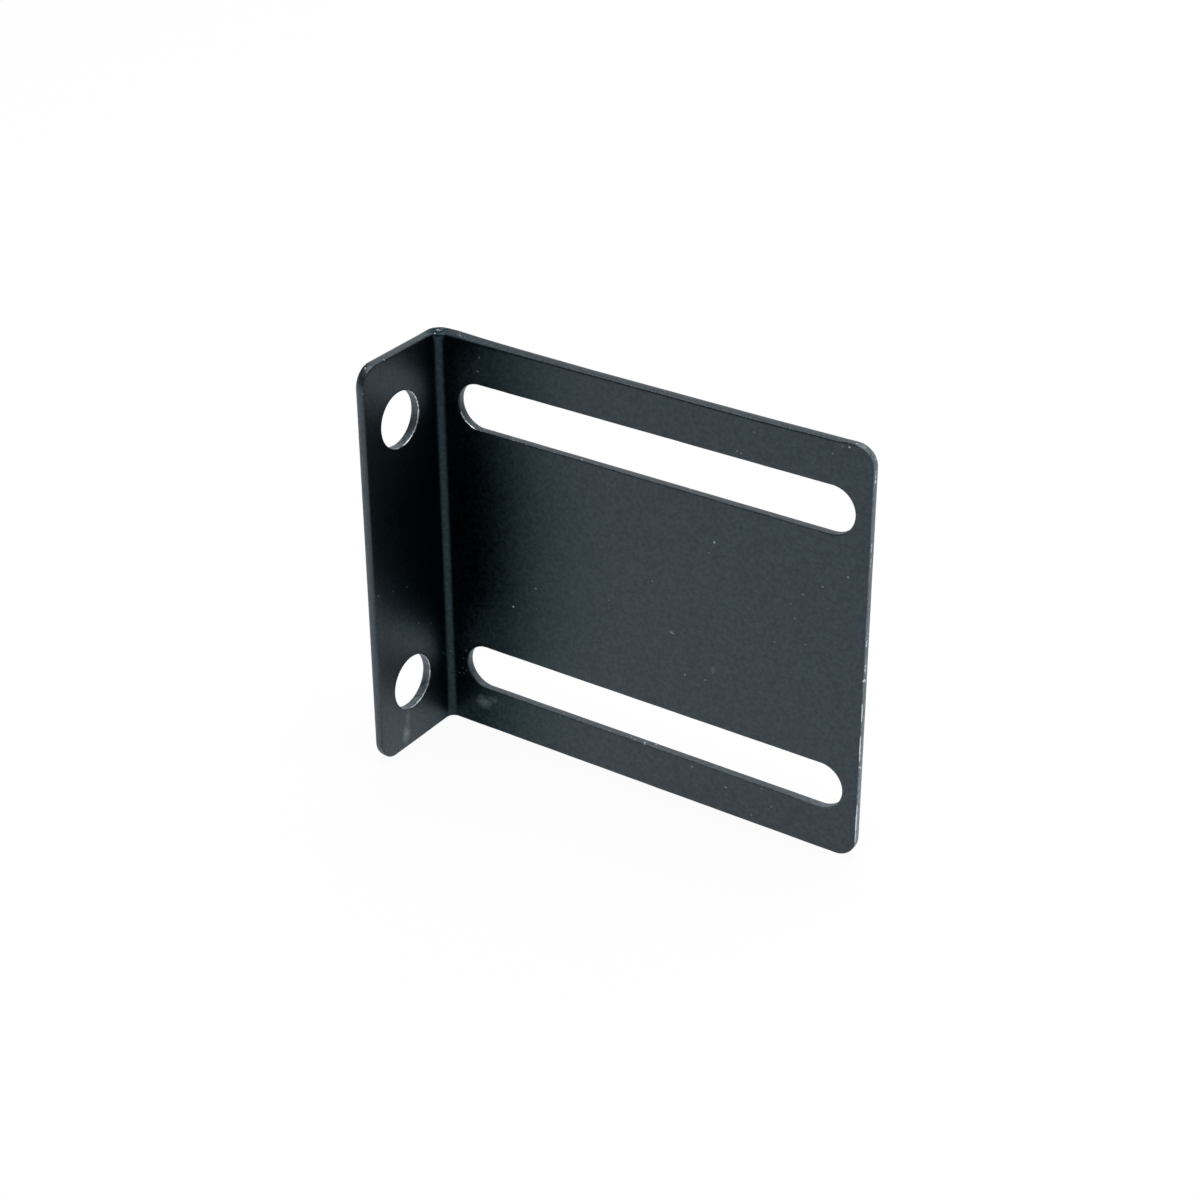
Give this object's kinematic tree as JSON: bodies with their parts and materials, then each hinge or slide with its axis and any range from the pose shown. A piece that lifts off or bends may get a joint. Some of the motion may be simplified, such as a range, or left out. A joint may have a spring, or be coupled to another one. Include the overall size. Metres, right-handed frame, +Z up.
{
  "type": "power strip bracket",
  "caption": "L-shaped bracket of folded black sheet steel: a narrow flange with round screw holes for a rack rail and a wide plate with long slots for a power strip.",
  "frame": {"origin": "midway between the two screw holes, on the flange's outer face", "axes": "+X along the plate, away from the flange; +Y from the flange's free edge towards the plate; +Z up, along the fold"},
  "size_m": [0.0529, 0.0135, 0.0468],
  "materials": {
    "black_powder_coat": "satin"
  },
  "bodies": {
    "root": {"bracket": "black_powder_coat"}
  },
  "joints": []
}
